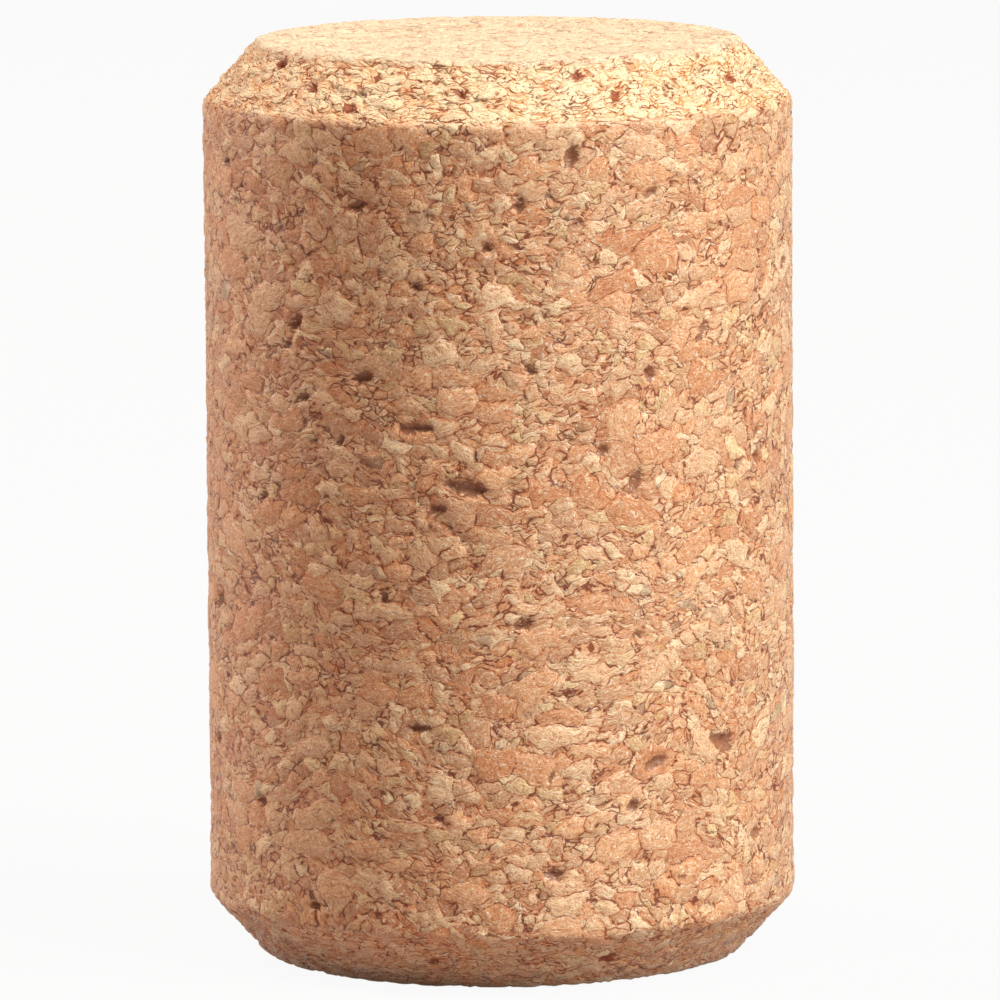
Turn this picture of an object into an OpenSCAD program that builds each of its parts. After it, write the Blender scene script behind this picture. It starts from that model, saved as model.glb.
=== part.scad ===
// Agglomerated cork stopper.
// Cork granules are glued and pressed into a rod, cut to length, ground to a straight cylinder
// and chamfered at both ends so that the stopper enters a bottle neck. Where granules do not
// meet, the ground surface is left open in short crevices.
// Millimetres, +Z up the axis, origin at the centre of the lower end face.

/* [Stopper] */
// Diameter of the straight side
stopper_d = 24; // [18:0.1:32]
// Length from one end face to the other
stopper_len = 37.5; // [27:0.1:55]

/* [Chamfer] */
// Width of each chamfer, measured along the radius
chamfer_w = 2.2; // [1:0.1:3.5]
// Height of each chamfer, measured along the axis
chamfer_h = 2.4; // [1:0.1:4.5]
// Radius that grinding leaves on each corner of the profile
corner_r = 0.5; // [0.1:0.05:0.8]

/* [Crevices between granules] */
// Distance between neighbouring crevices round the side
crevice_pitch = 6.4; // [5.5:0.1:9]
// Distance between rows of crevices along the axis
row_pitch = 4.2; // [3.8:0.1:8]
// Length of the shortest crevice
crevice_min = 0.5; // [0.3:0.05:0.9]
// Length of the longest scattered crevice
crevice_max = 1.7; // [1:0.05:2.6]
// Width of a crevice as a share of its length
slimness = 0.36; // [0.2:0.01:0.5]
// Depth of a crevice
crevice_depth = 0.3; // [0.2:0.05:0.8]
// Steepest slope of a crevice from level, in degrees
max_slope = 38; // [0:1:60]
// Number that picks where the crevices fall
scatter_seed = 11; // [1:1:99]

/* [Hidden] */

stopper_r = stopper_d / 2;
end_r = stopper_r - chamfer_w;
straight_len = stopper_len - 2 * chamfer_h;
chamfer_slope = atan2(chamfer_w, chamfer_h);

cork = [0.86, 0.67, 0.48];
crevice_shade = [0.42, 0.25, 0.16];
body_fn = 128;
corner_steps = 2;

// Large voids of this stopper: [turn from -Y, share of the straight side, length, width, slope].
voids = [
    [-7, 0.56, 1.9, 0.50, -9],
    [-16, 0.63, 1.7, 0.40, 3],
    [14, 0.96, 1.0, 0.50, 60],
    [27, 0.56, 1.2, 0.35, 64],
    [10, 0.08, 0.9, 0.36, 0],
    [-16, 0.26, 1.1, 0.24, 0],
    [-43, 0.75, 0.7, 0.45, 68],
    [-28, 0.90, 1.1, 0.32, 12],
    [31, 0.21, 1.3, 0.36, 16],
    [30, 0.69, 0.7, 0.48, 88],
    [4, 0.39, 0.9, 0.36, 17],
    [-39, 0.03, 0.6, 0.34, -23],
    [6, 0.70, 0.6, 0.28, -28],
    [68, 0.60, 0.9, 0.26, 83],
    [-23, 0.42, 0.6, 0.24, 88],
    [-2, 0.85, 0.5, 0.26, -40],
    [-12, 0.53, 0.8, 0.24, 13],
    [60, 0.57, 0.6, 0.26, -29],
    [26, 0.16, 0.6, 0.32, 59],
    [-54, 0.15, 0.5, 0.28, -16],
    [42, 0.73, 0.6, 0.24, 40],
    [20, 0.60, 0.5, 0.40, 15],
    [57, 0.45, 0.6, 0.24, 30],
    [-27, 0.69, 1.0, 0.36, 14],
    [-41, 0.66, 0.9, 0.28, 20],
    [-32, 0.61, 0.5, 0.26, 40],
    [60, 0.60, 0.6, 0.34, 60],
    [43, 0.74, 0.6, 0.28, 10],
    [4, 0.90, 0.8, 0.22, -60],
];

// Pits of the upper chamfer: [turn from -Y, share of the slope, length, width, slope].
chamfer_pits = [
    [18, 0.74, 0.6, 0.26, 12],
    [25, 0.43, 0.5, 0.30, 30],
    [-58, 0.80, 0.6, 0.36, 80],
    [-31, 0.24, 0.6, 0.30, 24],
    [-27, 0.70, 0.5, 0.22, 50],
    [52, 0.72, 0.8, 0.22, 10],
    [66, 0.38, 0.6, 0.24, 70],
];

// One number from 0 to 1, the same each time for the same place and use.
function chance(place, use) = rands(0, 1, 1, 1000 * scatter_seed + 37 * place + use)[0];

// Arc that rounds the corner b of the path a-b-c, as points from the side of a to that of c.
function rounded(a, b, c, r) =
    let (u = (a - b) / norm(a - b), v = (c - b) / norm(c - b))
    let (half = acos(u * v) / 2, back = r / tan(half))
    let (centre = b + (u + v) / norm(u + v) * r / sin(half))
    let (from = b + u * back - centre, sweep = cross(u, v) > 0 ? 2 * half - 180 : 180 - 2 * half)
    [for (i = [0 : corner_steps]) centre + turned(from, sweep * i / corner_steps)];

function turned(p, angle) =
    [p.x * cos(angle) - p.y * sin(angle), p.x * sin(angle) + p.y * cos(angle)];

// True where a crevice would run into one of the large voids.
function near_void(angle, z) =
    len([
        for (v = voids)
            let (across = stopper_r * ((angle - v[0] + 270) % 360 - 180) * PI / 180)
            let (along = z - chamfer_h - v[1] * straight_len)
            if (norm([across, along]) < crevice_pitch / 2) v
    ]) > 0;

// Turned blank: half the profile, revolved.
module blank() {
    foot = [end_r, 0];
    low = [stopper_r, chamfer_h];
    high = [stopper_r, stopper_len - chamfer_h];
    head = [end_r, stopper_len];
    rotate_extrude($fn = body_fn)
        polygon(concat(
            [[0, 0]],
            rounded([0, 0], foot, low, corner_r),
            rounded(foot, low, high, corner_r),
            rounded(low, high, head, corner_r),
            rounded(high, head, [0, stopper_len], corner_r),
            [[0, stopper_len]]
        ));
}

// Cutter for one crevice, an uneven slit with a flat floor. The surface is the plane x = 0 with
// the outside towards +X, and the crevice runs along Y.
module crevice(length, width, place) {
    swell = [for (i = [0 : 2]) width * (0.3 + 0.4 * chance(place, 11 + i))];
    shift = [for (i = [0 : 2]) length * (0.05 + 0.25 * chance(place, 21 + i))];
    rotate([0, 90, 0])
        translate([0, 0, -crevice_depth])
            linear_extrude(2 * crevice_depth)
                polygon([
                    [0, -length / 2],
                    [swell[0], -shift[0]],
                    [swell[1], shift[1]],
                    [0, length / 2],
                    [-swell[2], shift[2] - shift[0]]
                ]);
}

// Puts its children on the surface at that turn, radius and height, with +X along the
// outward normal, which stands at that lift above level.
module on_surface(angle, radius, height, lift) {
    rotate([0, 0, angle])
        translate([radius, 0, height])
            rotate([0, -lift, 0])
                children();
}

// A crevice whose length and slope are picked by its place, with a short branch on some.
module scattered_crevice(place, longest) {
    length = crevice_min + max(0, longest - crevice_min) * pow(chance(place, 3), 3);
    slope = max_slope * (2 * chance(place, 4) - 1);
    rotate([slope, 0, 0]) {
        crevice(length, slimness * length, place);
        if (chance(place, 5) > 0.7)
            translate([0, length / 4, 0])
                rotate([60 + 40 * chance(place, 6), 0, 0])
                    crevice(0.7 * length, 0.6 * slimness * length, place + 0.5);
    }
}

module side_crevices() {
    rows = floor(straight_len / row_pitch);
    per_row = floor(PI * stopper_d / crevice_pitch);
    for (row = [0 : rows - 1], i = [0 : per_row - 1]) {
        place = row * per_row + i;
        angle = 360 * (i + 0.5 * chance(place, 1) + (row % 2) / 2) / per_row;
        z = chamfer_h + straight_len * (row + 0.25 + 0.5 * chance(place, 2)) / rows;
        if (!near_void(angle, z))
            on_surface(angle, stopper_r, z, 0)
                scattered_crevice(place, crevice_max);
    }
    for (i = [0 : len(voids) - 1]) {
        v = voids[i];
        on_surface(v[0] - 90, stopper_r, chamfer_h + v[1] * straight_len, 0)
            rotate([v[4], 0, 0])
                crevice(v[2], v[3], 5000 + i);
    }
}

// One ring of short crevices along the middle of a chamfer or on an end face.
module crevice_ring(count, radius, height, lift, first_place) {
    for (i = [0 : count - 1])
        on_surface(360 * (i + 0.6 * chance(first_place + i, 1)) / count, radius, height, lift)
            scattered_crevice(first_place + i, crevice_max / 2);
}

module end_crevices() {
    around_chamfer = floor(PI * (stopper_d - chamfer_w) / crevice_pitch);
    mid_r = stopper_r - chamfer_w / 2;
    crevice_ring(around_chamfer, mid_r, chamfer_h / 2, -chamfer_slope, 1000);
    crevice_ring(around_chamfer, mid_r, stopper_len - chamfer_h / 2, chamfer_slope, 2000);
    for (i = [0 : len(chamfer_pits) - 1]) {
        p = chamfer_pits[i];
        on_surface(p[0] - 90, stopper_r - chamfer_w * p[1], stopper_len - chamfer_h * (1 - p[1]), chamfer_slope)
            rotate([p[4], 0, 0])
                crevice(p[2], p[3], 6000 + i);
    }
    rings = floor(end_r / crevice_pitch);
    for (ring = [1 : rings]) {
        ring_r = end_r * (ring - 0.35) / rings;
        count = floor(2 * PI * ring_r / crevice_pitch);
        crevice_ring(count, ring_r, 0, -90, 3000 + 100 * ring);
        crevice_ring(count, ring_r, stopper_len, 90, 4000 + 100 * ring);
    }
}

// The stopper is one piece: glued granules, ground all over.
module stopper() {
    difference() {
        color(cork) blank();
        color(crevice_shade) {
            side_crevices();
            end_crevices();
        }
    }
}

stopper();
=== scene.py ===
from math import cos, pi, radians, sin, tan

import bpy
import numpy as np
from mathutils import Matrix, Vector
from mathutils.bvhtree import BVHTree


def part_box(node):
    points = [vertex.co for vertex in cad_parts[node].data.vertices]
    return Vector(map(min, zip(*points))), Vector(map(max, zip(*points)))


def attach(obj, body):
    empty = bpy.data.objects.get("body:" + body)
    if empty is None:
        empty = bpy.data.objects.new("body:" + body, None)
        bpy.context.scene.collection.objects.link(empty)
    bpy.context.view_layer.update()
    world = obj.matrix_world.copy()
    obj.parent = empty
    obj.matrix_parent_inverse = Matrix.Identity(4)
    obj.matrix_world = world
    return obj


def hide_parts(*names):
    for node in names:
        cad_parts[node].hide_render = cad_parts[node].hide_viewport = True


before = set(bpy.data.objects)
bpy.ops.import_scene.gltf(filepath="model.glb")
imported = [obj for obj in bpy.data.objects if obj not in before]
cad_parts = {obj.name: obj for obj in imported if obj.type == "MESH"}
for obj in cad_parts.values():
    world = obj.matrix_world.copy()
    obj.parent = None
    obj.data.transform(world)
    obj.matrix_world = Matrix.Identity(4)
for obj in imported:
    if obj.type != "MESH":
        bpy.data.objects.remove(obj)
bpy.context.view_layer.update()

# ---------------------------------------------------------------------------------------------
# Camera. A long lens above the stopper's middle, looking down at it by eight degrees, with the
# stopper standing on the floor and its front towards the camera.

camera_distance = 0.3849
camera_height = 0.0727
camera_dip = 0.14
camera_roll = -0.007
focal_length = 341.6
sensor_width = 36


def add_object(name, data):
    made = bpy.data.objects.new(name, data)
    bpy.context.scene.collection.objects.link(made)
    return made


ahead = Vector((0, cos(camera_dip), -sin(camera_dip)))
level_up = Vector((0, sin(camera_dip), cos(camera_dip)))
level_right = Vector((1, 0, 0))
right = cos(camera_roll) * level_right + sin(camera_roll) * level_up
up = cos(camera_roll) * level_up - sin(camera_roll) * level_right

camera_data = bpy.data.cameras.new("camera")
camera_data.lens = focal_length
camera_data.sensor_width = sensor_width
camera_data.clip_start = 0.01
camera = add_object("camera", camera_data)
camera.matrix_world = (
    Matrix.Translation((0, -camera_distance, camera_height))
    @ Matrix((right, up, -ahead)).transposed().to_4x4()
)
bpy.context.scene.camera = camera
bpy.context.scene.view_settings.view_transform = "Standard"

# ---------------------------------------------------------------------------------------------
# Studio light. A large soft panel stands to the front right. Two small ones behind on the left
# give that edge some shape, one hangs overhead, and a warm, dim room fills the rest.


class Field:
    """A node's output. Sums on it add Math nodes, or Vector Math ones where it is a vector."""

    def __init__(self, tree, socket=None):
        self.tree = tree
        self.socket = socket

    def node(self, kind, settings=None, values=None, output=0):
        """Adds a node. Settings go in first, then values: numbers, tuples or other outputs."""
        made = self.tree.nodes.new(kind)
        for name, setting in (settings or {}).items():
            if name == "stops":
                ramp = made.color_ramp.elements
                while len(ramp) < len(setting):
                    ramp.new(0.5)
                for stop, (place, tint) in zip(ramp, setting):
                    stop.position, stop.color = place, linear(tint)
            else:
                setattr(made, name, setting)
        for name, value in (values or {}).items():
            if isinstance(value, Field):
                self.tree.links.new(value.socket, made.inputs[name])
            else:
                made.inputs[name].default_value = value
        return Field(self.tree, made.outputs[output]) if len(made.outputs) else made

    def sum(self, operation, *terms):
        """A Math or Vector Math node on the terms, or on this value where there are none."""
        terms = terms or (self,)
        vectors = [t for t in terms if isinstance(t, tuple) or getattr(t, "is_vector", False)]
        if not vectors:
            return self.node("ShaderNodeMath", {"operation": operation}, dict(enumerate(terms)))
        if operation == "MULTIPLY" and len(vectors) == 1:
            scale = next(t for t in terms if t is not vectors[0])
            values = {"Vector": vectors[0], "Scale": scale}
            return self.node("ShaderNodeVectorMath", {"operation": "SCALE"}, values)
        return self.node("ShaderNodeVectorMath", {"operation": operation}, dict(enumerate(terms)))

    @property
    def is_vector(self):
        return self.socket.type in ("VECTOR", "RGBA")

    def __add__(self, other):
        return self.sum("ADD", self, other)

    def __radd__(self, other):
        return self.sum("ADD", other, self)

    def __sub__(self, other):
        return self.sum("SUBTRACT", self, other)

    def __rsub__(self, other):
        return self.sum("SUBTRACT", other, self)

    def __mul__(self, other):
        return self.sum("MULTIPLY", self, other)

    def __truediv__(self, other):
        return self.sum("DIVIDE", self, other)

    def __lt__(self, other):
        return self.sum("LESS_THAN", self, other)

    def least(self, other):
        return self.sum("MINIMUM", self, other)

    def most(self, other):
        return self.sum("MAXIMUM", self, other)

    def fade(self, start, end):
        """0 up to start, 1 from end on, smooth between; start may be the larger one."""
        if start > end:
            return 1 - self.fade(end, start)
        values = {"Value": self, "From Min": start, "From Max": end}
        return self.node("ShaderNodeMapRange", {"interpolation_type": "SMOOTHSTEP"}, values)

    def blend(self, other, share):
        """This value or colour, with that share of the other one."""
        if self.socket.type == "VALUE":
            return self.node("ShaderNodeMix", {"data_type": "FLOAT"}, {0: share, 2: self, 3: other})
        if isinstance(other, tuple):
            other = linear(other)
        return self.node("ShaderNodeMix", {"data_type": "RGBA"}, {0: share, 6: self, 7: other}, 2)

    def part(self, axis):
        return self.node("ShaderNodeSeparateXYZ", None, {0: self}, axis)

    def also(self, output):
        """Another output of the node that this one comes from."""
        return Field(self.tree, self.socket.node.outputs[output])


def linear(tint):
    """A colour written as 0 to 255 values, as the renderer wants it, and opaque."""
    shares = (value / 255 for value in tint)
    return (*(s / 12.92 if s < 0.04045 else ((s + 0.055) / 1.055) ** 2.4 for s in shares), 1)


def cleared_tree(owner):
    """The node tree of a material or world, with nothing in it yet."""
    owner.use_nodes = True
    owner.node_tree.nodes.clear()
    return Field(owner.node_tree)


stopper_middle = Vector((0, 0, 0.019))


def soft_panel(name, turn, lift, strength, tint, distance=0.5, size=0.2):
    """A square panel that faces the stopper's middle, with its turn from the front and its lift
    from level in degrees. Strength 1 lights a surface as it is written."""
    lamp = bpy.data.lights.new(name, "AREA")
    lamp.size = size
    lamp.energy = strength * pi * pi * distance**2
    lamp.color = linear(tint)[:3]
    side = cos(radians(lift))
    towards = Vector((sin(radians(turn)) * side, -cos(radians(turn)) * side, sin(radians(lift))))
    panel = add_object(name, lamp)
    panel.location = stopper_middle + towards * distance
    panel.rotation_euler = (-towards).to_track_quat("-Z", "Y").to_euler()


soft_panel("key_panel", 60, 42, 1.57, (240, 253, 254), distance=0.8, size=0.45)
soft_panel("edge_panel", -116, 14, 0.28, (255, 247, 238))
soft_panel("high_edge_panel", -116, 42, 0.43, (255, 245, 235))
soft_panel("overhead_panel", -25, 76, 0.4, (255, 238, 226))

room = bpy.data.worlds.new("room")
in_room = cleared_tree(room)
room_light = in_room.node(
    "ShaderNodeBackground", None, {"Color": linear((255, 222, 200)), "Strength": 0.03}
)
in_room.node("ShaderNodeOutputWorld", None, {"Surface": room_light})
bpy.context.scene.world = room

# ---------------------------------------------------------------------------------------------
# Floor. A pale sweep of matt board that the stopper stands on. It stays almost white and keeps
# a soft shadow. It lies a hair lower than the stopper's foot, so that no two faces coincide.

floor_reach = 3.0
floor_drop = 0.000005
floor_whiteness = 0.94

floor_mesh = bpy.data.meshes.new("floor")
floor_corners = [
    (x * floor_reach, y * floor_reach, 0) for x, y in ((-1, -1), (1, -1), (1, 1), (-1, 1))
]
floor_mesh.from_pydata(floor_corners, [], [(0, 1, 2, 3)])
floor = add_object("floor", floor_mesh)
floor.location.z = -floor_drop

board = bpy.data.materials.new("pale_board")
on_board = cleared_tree(board)
board_face = on_board.node("ShaderNodeBsdfDiffuse", None, {"Color": linear((171, 155, 149))})
board_glow = on_board.node("ShaderNodeEmission", None, {"Color": (1, 1, 1, 1), "Strength": 1.0})
rays = on_board.node("ShaderNodeLightPath", None, None, "Is Camera Ray")
seen = rays.most(rays.also("Is Glossy Ray")).most(rays.also("Is Transmission Ray"))
board_mix = on_board.node(
    "ShaderNodeMixShader", None, {0: seen * floor_whiteness, 1: board_face, 2: board_glow}
)
on_board.node("ShaderNodeOutputMaterial", None, {"Surface": board_mix})
floor_mesh.materials.append(board)

# ---------------------------------------------------------------------------------------------
# Stopper. Cork granules of all sizes, glued and pressed into one body, then ground to a straight
# cylinder with a chamfer at each end. The ground surface shows each granule cut through, thin
# glue lines, and open crevices where granules do not meet.

mm = 0.001
stopper_low, stopper_high = (Vector(corner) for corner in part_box("stopper"))
stopper_radius = (stopper_high.x - stopper_low.x) / 2 / mm
stopper_length = (stopper_high.z - stopper_low.z) / mm
chamfer_width = 2.2
chamfer_height = 2.4
corner_radius = 0.45
corner_points = 6
vertex_gap = 0.2
row_closeness = 0.94
row_gap = vertex_gap * row_closeness


def eased(before, corner, after):
    """Points of the profile that lead round one of its corners."""
    back, on = before - corner, after - corner
    back, on = back / np.linalg.norm(back), on / np.linalg.norm(on)
    reach = corner_radius / tan(np.arccos(back @ on) / 2)
    start, end = corner + back * reach, corner + on * reach
    return [
        (1 - share) ** 2 * start + 2 * share * (1 - share) * corner + share**2 * end
        for share in np.linspace(0, 1, corner_points)
    ]


# The profile, from the centre of the lower face to the centre of the upper one, with its normals.
end_radius = stopper_radius - chamfer_width
high_edge = stopper_length - chamfer_height
corners = [
    (0, 0),
    (end_radius, 0),
    (stopper_radius, chamfer_height),
    (stopper_radius, high_edge),
    (end_radius, stopper_length),
    (0, stopper_length),
]
corners = np.array(corners, float)
profile = [corners[0]]
for before, corner, after in zip(corners, corners[1:], corners[2:]):
    profile += eased(before, corner, after)
profile = np.array([*profile, corners[-1]])
walked = np.concatenate([[0], np.cumsum(np.linalg.norm(np.diff(profile, axis=0), axis=1))])
row_walk = np.linspace(0, walked[-1], int(walked[-1] / row_gap))
rows = np.stack([np.interp(row_walk, walked, profile[:, k]) for k in (0, 1)], axis=1)
along = np.gradient(rows, axis=0)
row_normals = np.stack([along[:, 1], -along[:, 0]], axis=1)
row_normals /= np.linalg.norm(row_normals, axis=1)[:, None]

# Rings of vertices, each with as many as its radius asks for.
fewest_in_ring = 6
points, normals, rings = [], [], []
for number, ((radius, level), (out_share, up_share)) in enumerate(zip(rows, row_normals)):
    count = 1 if radius < 1e-6 else max(fewest_in_ring, round(2 * pi * radius / vertex_gap))
    angles = (np.arange(count) + 0.5 * (number % 2)) * 2 * pi / count
    rings.append((len(points), count, angles))
    for angle in angles:
        across, depth = cos(angle), sin(angle)
        points.append((radius * across, radius * depth, level))
        normals.append((out_share * across, out_share * depth, up_share))
points, normals = np.array(points), np.array(normals)


def joined(low_ring, high_ring):
    """Triangles between two rings, each step on the ring that lags behind in angle."""
    low_first, low_count, low_angles = low_ring
    high_first, high_count, high_angles = high_ring
    low_steps = low_count if low_count > 1 else 0
    high_steps = high_count if high_count > 1 else 0
    low, high = 0, 0
    while low < low_steps or high < high_steps:
        low_next = low_angles[(low + 1) % low_count] + 2 * pi * ((low + 1) // low_count)
        high_next = high_angles[(high + 1) % high_count] + 2 * pi * ((high + 1) // high_count)
        a, b = low_first + low % low_count, high_first + high % high_count
        if high >= high_steps or (low < low_steps and low_next < high_next):
            low += 1
            yield a, low_first + low % low_count, b
        else:
            high += 1
            yield a, high_first + high % high_count, b


faces = [face for low_ring, high_ring in zip(rings, rings[1:]) for face in joined(low_ring, high_ring)]

# Crevices follow the solid: each vertex has the depth at which rays along its normal meet it,
# averaged over a small cross of rays so that no wall of a crevice is a cliff.
ray_cross = ((0, 0), (0.09, 0.03), (-0.09, -0.03), (-0.03, 0.09), (0.03, -0.09))
ray_head_start = 1
deepest_drop = 0.45
least_drop = 0.03

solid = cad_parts["stopper"].data
solid_tree = BVHTree.FromPolygons(
    [v.co / mm for v in solid.vertices], [tuple(p.vertices) for p in solid.polygons]
)


def depth_under(point, normal):
    point, normal = Vector(point), Vector(normal)
    across = Vector((-normal.y, normal.x, 0)) if abs(normal.z) < 0.99 else Vector((1, 0, 0))
    across.normalize()
    upward = normal.cross(across)
    total = 0
    for sideways, upwards in ray_cross:
        begin = point + normal * ray_head_start + across * sideways + upward * upwards
        met = solid_tree.ray_cast(begin, -normal, 2 * ray_head_start)[3] or ray_head_start
        total += min(max(met - ray_head_start, 0), deepest_drop) / len(ray_cross)
    return total


drop = np.array([depth_under(point, normal) for point, normal in zip(points, normals)])
drop[drop < least_drop] = 0

stopper_mesh = bpy.data.meshes.new("stopper_skin")
stopper_mesh.from_pydata([tuple(p) for p in points * mm], [], faces)
depth_store = stopper_mesh.attributes.new("crevice_depth", "FLOAT", "POINT")
depth_store.data.foreach_set("value", drop.astype(np.float32))
normal_store = stopper_mesh.attributes.new("outward", "FLOAT_VECTOR", "POINT")
normal_store.data.foreach_set("vector", normals.astype(np.float32).ravel())
stopper = add_object("stopper_skin", stopper_mesh)

# Granules: cells in a space that pressing has flattened along the axis. Some of the large ones
# are broken up into middling ones, and some of those into small ones.
flattened = (1.0, 1.0, 1.7)
halfway = (0.5, 0.5, 0.5)
large_cells = 0.6
finer_cells = ((1.0, 0.64, 0), (1.85, 0.34, 1))
extra_broken_where_torn = 0.4


def noise(p, scale, detail=2.0, rough=0.5, output="Fac"):
    values = {"Vector": p, "Scale": scale, "Detail": detail, "Roughness": rough}
    return p.node("ShaderNodeTexNoise", None, values, output)


def cells(p, scale):
    """The granule at p: distance in mm from its border, three chances for it, and its middle."""
    nearest, second = (
        p.node("ShaderNodeTexVoronoi", {"feature": feature}, {"Vector": p, "Scale": scale}, "Distance")
        for feature in ("F1", "F2")
    )
    middle = nearest.also("Position")
    ends = {0: middle, 1: second.also("Position")}
    apart = p.node("ShaderNodeVectorMath", {"operation": "DISTANCE"}, ends, "Value")
    to_border = (second - nearest) * (second + nearest) / apart
    return to_border / (2 * scale * scale), nearest.also("Color"), middle


def granules(p, torn):
    """The same for granules of mixed sizes, with more broken ones where torn is 1."""
    border, chances, middle = cells(p, large_cells)
    for scale, share, axis in finer_cells:
        finer_border, finer_chances, finer_middle = cells(p, scale)
        broken = chances.part(axis) < torn * extra_broken_where_torn + share
        border = border.blend(finer_border, broken)
        chances, middle = (
            p.node("ShaderNodeMix", {"data_type": "VECTOR"}, {0: broken, 4: whole, 5: piece}, 1)
            for whole, piece in ((chances, finer_chances), (middle, finer_middle))
        )
    return border, chances, middle


# Relief: granules stand at slightly different heights, dished at their borders. The skin keeps
# where each point lies among the pressed granules, so that the colours follow the relief. The
# scales of its patterns are in waves per millimetre.
patch_scale = 1.4
lean_scale, ragged_scale = 0.14, 1.2
wander_scale = 0.22
pit_scale = 1.5

relief_tree = bpy.data.node_groups.new("granule_relief", "GeometryNodeTree")
relief_tree.interface.new_socket("Geometry", in_out="INPUT", socket_type="NodeSocketGeometry")
relief_tree.interface.new_socket("Geometry", in_out="OUTPUT", socket_type="NodeSocketGeometry")
relief = Field(relief_tree)
skin = relief.node("NodeGroupInput")
place = relief.node("GeometryNodeInputPosition") * (1 / mm)
outward, crevice = (
    relief.node("GeometryNodeInputNamedAttribute", {"data_type": kind}, {"Name": name})
    for kind, name in (("FLOAT_VECTOR", "outward"), ("FLOAT", "crevice_depth"))
)

# Zones: the ground chamfers, the flat end faces, and the upper half.
height = place.part(2)
end_zone = height.fade(chamfer_height + 0.15, chamfer_height - 0.25)
end_zone = end_zone.most(height.fade(high_edge - 0.15, high_edge + 0.25))
patches = noise(place, patch_scale, 1, 0.6, "Color")
from_end = height.least(stopper_length - height) + (patches.part(1) - 0.5) * 0.5
face_zone = from_end.fade(0.27, 0.09)
chamfer_zone = end_zone - face_zone
upper_half = height.fade(stopper_length / 2 - 1, stopper_length / 2 + 1)
zones = relief.node("ShaderNodeCombineXYZ", None, {"X": chamfer_zone, "Y": face_zone, "Z": upper_half})

# Pressing flattens the granules along the axis, and the grinding tears the chamfers level.
lean_reach = 2.6
ragged_reach = 0.9
extra_ragged_on_chamfer = 0.7
chamfer_tearing = 1.9
beyond = (height - high_edge).most(0.0) + (height - chamfer_height).least(0.0)
lean = (noise(place, lean_scale, 1, 0.5, "Color") - halfway) * lean_reach
ragged = (noise(place, ragged_scale, 2, 0.65, "Color") - halfway) * ragged_reach
pressed = (place + lean + ragged * (1 + chamfer_zone * extra_ragged_on_chamfer)) * flattened
pressed = pressed + relief.node("ShaderNodeCombineXYZ", None, {"Z": beyond * chamfer_tearing})
pit = noise(place * flattened, pit_scale, 2, 0.5).fade(0.64, 0.76)
for name, kind, value in (
    ("zones", "FLOAT_VECTOR", zones),
    ("pressed", "FLOAT_VECTOR", pressed),
    ("patches", "FLOAT_VECTOR", patches),
    ("pit", "FLOAT", pit),
):
    skin = relief.node(
        "GeometryNodeStoreNamedAttribute",
        {"data_type": kind, "domain": "POINT"},
        {"Geometry": skin, "Name": name, "Value": value},
    )

# Heights in millimetres: how far granules differ, how deep their borders lie, and how far both
# lie under the ground surface, first on the side and then, added to that, on the torn chamfers.
# The lower chamfer has only a share of what is added.
granule_steps, granule_dish, granule_depth = 0.04, 0.06, 0.05
torn_steps, torn_dish, torn_depth = 0.11, 0.08, 0.09
dish_width, torn_dish_width = 0.26, 0.2
wander_height = 0.12
pit_depth = 0.14
low_chamfer_share = 0.4

border, chances, middle = granules(pressed, chamfer_zone)
stand = (chances.part(2) - 0.5) * granule_steps
stand = stand + border.fade(0.0, dish_width) * granule_dish - granule_depth
crumble = (chances.part(0) - 0.5) * torn_steps
crumble = crumble + border.fade(0.0, torn_dish_width) * torn_dish - torn_depth
wander = (noise(place, wander_scale, 3, 0.55) - 0.5) * wander_height
pits = pit * border.fade(0.2, 0.05) * pit_depth
torn_share = low_chamfer_share + upper_half * (1 - low_chamfer_share)
rise = stand - pits + crumble * chamfer_zone * torn_share + wander - crevice
rise = rise - rise.most(0.0) * face_zone
moved = relief.node(
    "GeometryNodeSetPosition", None, {"Geometry": skin, "Offset": outward * (rise * mm)}
)
relief.node("NodeGroupOutput", None, {"Geometry": moved})
stopper.modifiers.new("granule_relief", "NODES").node_group = relief_tree
bpy.context.view_layer.update()
shaped = stopper.evaluated_get(bpy.context.evaluated_depsgraph_get())
shaped_mesh = bpy.data.meshes.new_from_object(shaped)
stopper.modifiers.clear()
stopper.data = shaped_mesh
shaped_mesh.polygons.foreach_set("use_smooth", np.ones(len(shaped_mesh.polygons), bool))

# Cork: every granule has its own tone, from tan to cream, and some lean to red or to yellow.
# Chamfers are brighter, and the end faces are cut across and paler.
cork = bpy.data.materials.new("ground_cork")
on_cork = cleared_tree(cork)


def kept(name, output="Vector"):
    return on_cork.node("ShaderNodeAttribute", {"attribute_name": name}, None, output)


def parts(vector):
    return (vector.part(axis) for axis in (0, 1, 2))


def between(first, second, share):
    """A tint that goes from the first to the second as the share goes from 0 to 1."""
    values = {0: share, 6: linear(first), 7: linear(second)}
    return on_cork.node("ShaderNodeMix", {"data_type": "RGBA"}, values, 2)


granule_tones = [
    (0.0, (206, 141, 98)),
    (0.2, (222, 167, 123)),
    (0.5, (232, 181, 136)),
    (0.8, (239, 194, 149)),
    (1.0, (248, 211, 167)),
]
red_cork = (227, 149, 95)
yellow_cork = (234, 196, 134)
chamfer_cork_and_top_light = (251, 220, 172)
end_cork_and_top_light = (220, 206, 174)

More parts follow.
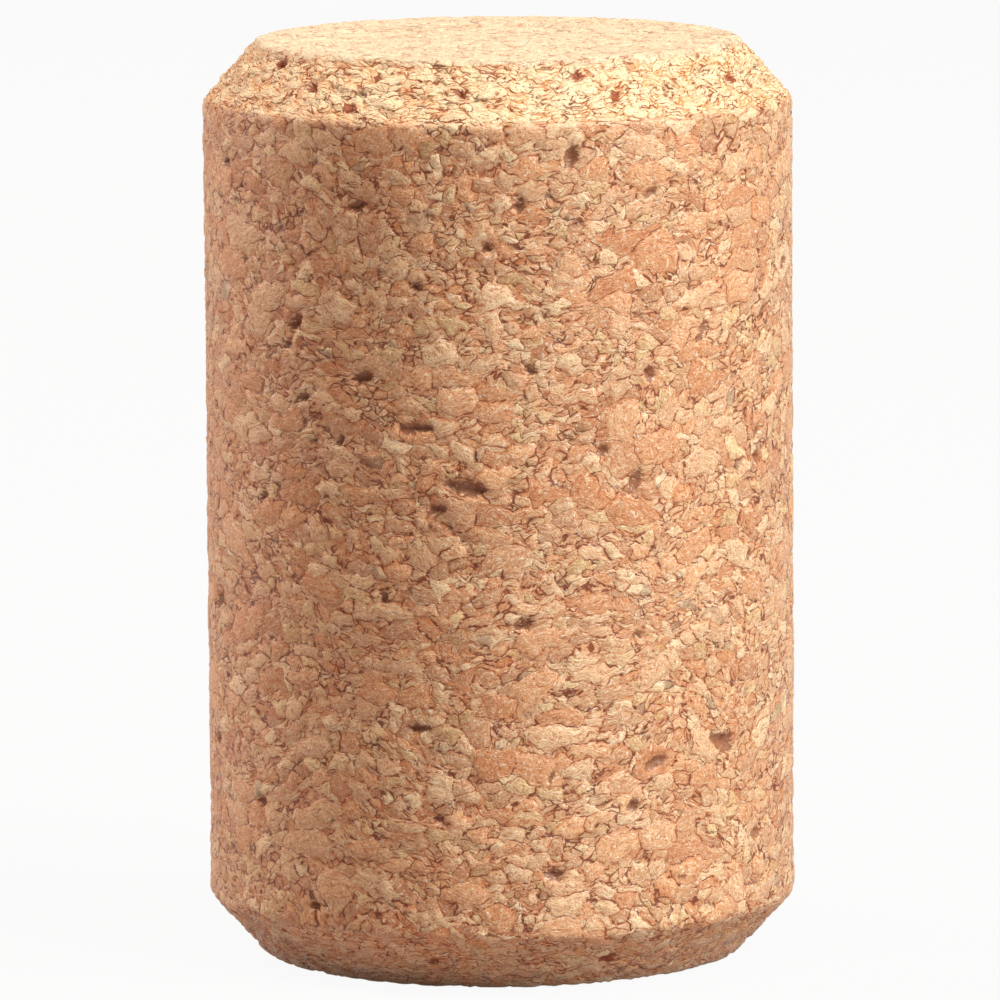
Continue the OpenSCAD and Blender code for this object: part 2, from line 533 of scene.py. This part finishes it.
pressed = kept("pressed")
on_chamfer, on_face, upper = parts(kept("zones"))
patch, other_patch, third_patch = parts(kept("patches"))
border, chances, middle = granules(pressed, on_chamfer)
hue, bend, tone = parts(chances)
tint = on_cork.node("ShaderNodeValToRGB", {"stops": granule_tones}, {0: tone})
tint = tint.blend(red_cork, hue.fade(0.62, 0.94) * 0.6)
tint = tint.blend(yellow_cork, hue.fade(0.26, 0.04) * 0.5)
# Painted light from above: the upper chamfer and the upper end face get much more of the pale tints.
tint = tint.blend(chamfer_cork_and_top_light, (upper * 0.8 + tone * 0.2) * on_chamfer)
tint = tint.blend(end_cork_and_top_light, on_face * (0.5 + upper * 0.3))

# Inside a granule the wood runs in a grain of its own direction, with mottle and fine specks.
# Each of the three has dark and pale parts, and the dark ones are calmer on chamfers and ends.
grain_turn = 0.5
grain_flattening = (1.0, 1.0, 2.3)
grain_scale, mottle_scale, fine_scale = 1.7, 4.2, 10.0

turned = on_cork.node(
    "ShaderNodeVectorRotate",
    {"rotation_type": "AXIS_ANGLE"},
    {"Vector": pressed, "Axis": chances - halfway, "Angle": grain_turn},
)
grain = noise(turned * grain_flattening, grain_scale, 3, 0.65)
mottle = noise(pressed, mottle_scale, 2, 0.7)
fine = noise(pressed, fine_scale, 1, 0.7)
calm = 1 - on_chamfer * 0.5 - on_face * 0.35
rough_calm = calm.most(on_chamfer * 0.75)
for pattern, dark, dark_from, dark_share, pale, pale_from, pale_share in (
    (grain, (178, 92, 46), (0.53, 0.76), calm * 0.68, (255, 230, 188), (0.44, 0.24), 0.42),
    (mottle, (182, 88, 40), (0.52, 0.72), rough_calm * 0.68, (255, 232, 196), (0.46, 0.28), 0.44),
    (fine, (158, 76, 30), (0.54, 0.74), on_chamfer * 0.26 + 0.64, (255, 240, 214), (0.44, 0.26), 0.56),
):
    tint = tint.blend(dark, pattern.fade(*dark_from) * dark_share)
    tint = tint.blend(pale, pattern.fade(*pale_from) * pale_share)

# Glue lines: thin, brown and broken along the borders, over a wider soft edge of warm orange.
# Widths in millimetres.
thinnest_line, line_swell, soft_edge_width = 0.031, 0.046, 0.16
line_width = (thinnest_line + patch.fade(0.42, 0.64) * line_swell) * (1 + on_chamfer * 0.15)
line = 1 - (border / line_width).fade(0.3, 1.0)
broken_line = (mottle + (other_patch - 0.5) * 0.6).fade(0.42, 0.54)
# The soft orange edge is partly the cork's own colour and partly painted shade where the borders dish.
orange_fringe_and_shade = border.fade(soft_edge_width, 0.0) * third_patch.fade(0.38, 0.58)
fringe_and_shade_tint = between((208, 112, 54), (236, 136, 52), on_chamfer)
tint = tint.blend(fringe_and_shade_tint, orange_fringe_and_shade * (0.52 + on_chamfer * 0.16 - on_face * 0.2))
line_tint = between((122, 52, 20), (156, 64, 10), (on_chamfer + on_face) * 0.75)
tint = tint.blend(line_tint, line * broken_line * (0.94 - on_face * 0.4))

# Bark and lenticels: thin strands, slits, a few dark granules, and a few with a ripple of growth
# rings. Small pits where granules meet get painted shade.
strand_brown = (158, 78, 40)
slit_brown = (124, 58, 26)
pit_shade_brown = (104, 52, 28)
bark_grey = (134, 92, 70)
ring_brown = (160, 104, 64)
ring_squeeze = (7.0, 7.0, 1.0)

strand = 1 - ((grain - 0.5).sum("ABSOLUTE") / 0.02).fade(0.3, 1.0)
strand = strand * bend.fade(0.6, 0.61) * (1 - on_face)
tint = tint.blend(strand_brown, strand * 0.5)
slits = (grain + on_chamfer * 0.05).fade(0.7, 0.76) * other_patch.fade(0.48, 0.58)
tint = tint.blend(slit_brown, slits * 0.7)
# Painted shade in the small pits where granules meet.
pit_shade = kept("pit", "Fac") * border.fade(0.2, 0.05)
tint = tint.blend(pit_shade_brown, pit_shade * 0.75)
bark = tone.fade(0.975, 0.985) * patch.fade(0.4, 0.6) * (1 - on_chamfer)
tint = tint.blend(bark_grey, bark * 0.6)
ripple = noise(pressed * ring_squeeze, 1.0, 0).fade(0.5, 0.62)
ripple = ripple * (bend.fade(0.45, 0.455) - bend.fade(0.475, 0.48)) * border.fade(0.05, 0.2)
tint = tint.blend(ring_brown, ripple * 0.3)

# Crevices are painted dark inside as shade, warmer and less alike on the chamfers. Small pale
# specks over everything are painted glints of light.
painted_glint_cream = (255, 246, 228)
crevice_depth = kept("crevice_depth", "Fac") * (1 + on_chamfer)
crevice_depth = crevice_depth + (mottle - 0.5) * crevice_depth.fade(0.0, 0.05) * 0.35
crevice_shade_tint = between((152, 90, 58), (150, 62, 8), on_chamfer)
crevice_shade_share = crevice_depth.fade(0.04, 0.11) * (0.86 + on_chamfer * 0.18)
crevice_shade_share = crevice_shade_share * (1 - on_chamfer * (0.1 + third_patch.fade(0.54, 0.4) * 0.6))
tint = tint.blend(crevice_shade_tint, crevice_shade_share)
# Painted glints: small pale specks of light.
tint = tint.blend(painted_glint_cream, fine.fade(0.36, 0.31) * mottle.fade(0.52, 0.42) * 0.65)

# Each granule lies at its own slight tilt and is rounded over at its border. Fine specks have a
# waxy shine, less of it on the end faces.
tilt = 0.16
rounded_width = 0.16
bump_distance = 0.0001
outside = on_cork.node("ShaderNodeNewGeometry", None, None, "Normal")
away = ((pressed - middle) * flattened).sum("NORMALIZE")
rounding = away * (border.fade(rounded_width, 0.0) * (0.24 + on_chamfer * 0.42))
tilted = (outside + rounding + (chances - halfway) * tilt).sum("NORMALIZE")
surface_height = mottle * -0.38 - fine * 0.12
bump = on_cork.node(
    "ShaderNodeBump",
    None,
    {"Strength": 1.0, "Distance": bump_distance, "Height": surface_height, "Normal": tilted},
    "Normal",
)
waxy = fine.fade(0.55, 0.62) * 0.42 * (1 - on_face * 0.7)
cork_face = on_cork.node(
    "ShaderNodeBsdfPrincipled",
    None,
    {
        "Base Color": tint,
        "Roughness": 0.48 + mottle * 0.3 - waxy + on_face * 0.18,
        "Specular IOR Level": 0.55,
        "Normal": bump,
    },
)
on_cork.node("ShaderNodeOutputMaterial", None, {"Surface": cork_face})
shaped_mesh.materials.append(cork)

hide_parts("stopper")
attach(stopper, "root")
